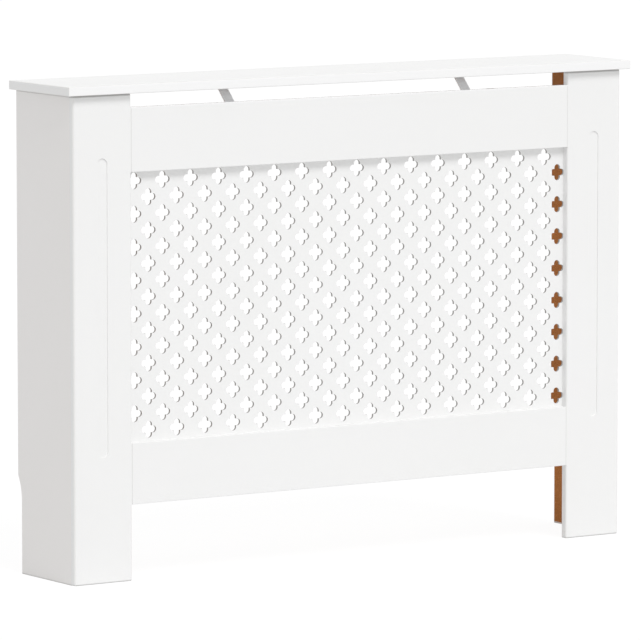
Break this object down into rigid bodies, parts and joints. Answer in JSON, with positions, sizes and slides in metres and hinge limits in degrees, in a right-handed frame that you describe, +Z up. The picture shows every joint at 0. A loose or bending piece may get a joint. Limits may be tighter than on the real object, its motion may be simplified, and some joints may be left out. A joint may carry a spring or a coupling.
{
  "type": "radiator cover cabinet",
  "caption": "Free-standing white radiator cover: plain top, plain sides with a skirting cut-out, fluted stiles, plain rails and a pierced quatrefoil panel, open at the back and below.",
  "frame": {"origin": "on the floor, under the middle of the top board's plan", "axes": "+X to the right seen from the front, +Y from the front towards the wall, +Z up"},
  "size_m": [1.12, 0.19, 0.815],
  "materials": {
    "white_lacquered_fibreboard": "medium-density fibreboard, white satin lacquer outside, raw brown board on the hidden inner faces",
    "white_powder_coated_steel": "flat mild steel, plain white powder coat",
    "zinc_plated_steel": "flat mild steel, bright zinc plated",
    "zinc_plated_screw": "small steel fixings, bright zinc plated",
    "die_cast_zinc": "die-cast zinc, dull and slightly grainy",
    "beech_dowel": "turned beech, bare"
  },
  "bodies": {
    "root": {"top_board": "white_lacquered_fibreboard", "side_panel_left": "white_lacquered_fibreboard", "side_panel_right": "white_lacquered_fibreboard", "stile_left": "white_lacquered_fibreboard", "stile_right": "white_lacquered_fibreboard", "upper_rail": "white_lacquered_fibreboard", "lower_rail": "white_lacquered_fibreboard", "lattice_panel": "white_lacquered_fibreboard", "brace_strap_left": "white_powder_coated_steel", "brace_strap_right": "white_powder_coated_steel", "wall_bracket_left": "zinc_plated_steel", "wall_bracket_right": "zinc_plated_steel", "strap_screws": "zinc_plated_screw", "bracket_screws": "zinc_plated_screw", "front_panel_screws": "zinc_plated_screw", "lattice_pins": "zinc_plated_screw", "cam_locks": "die_cast_zinc", "cam_bolts": "zinc_plated_screw", "top_dowels": "beech_dowel", "stile_dowels": "beech_dowel", "rail_dowels": "beech_dowel"}
  },
  "joints": []
}
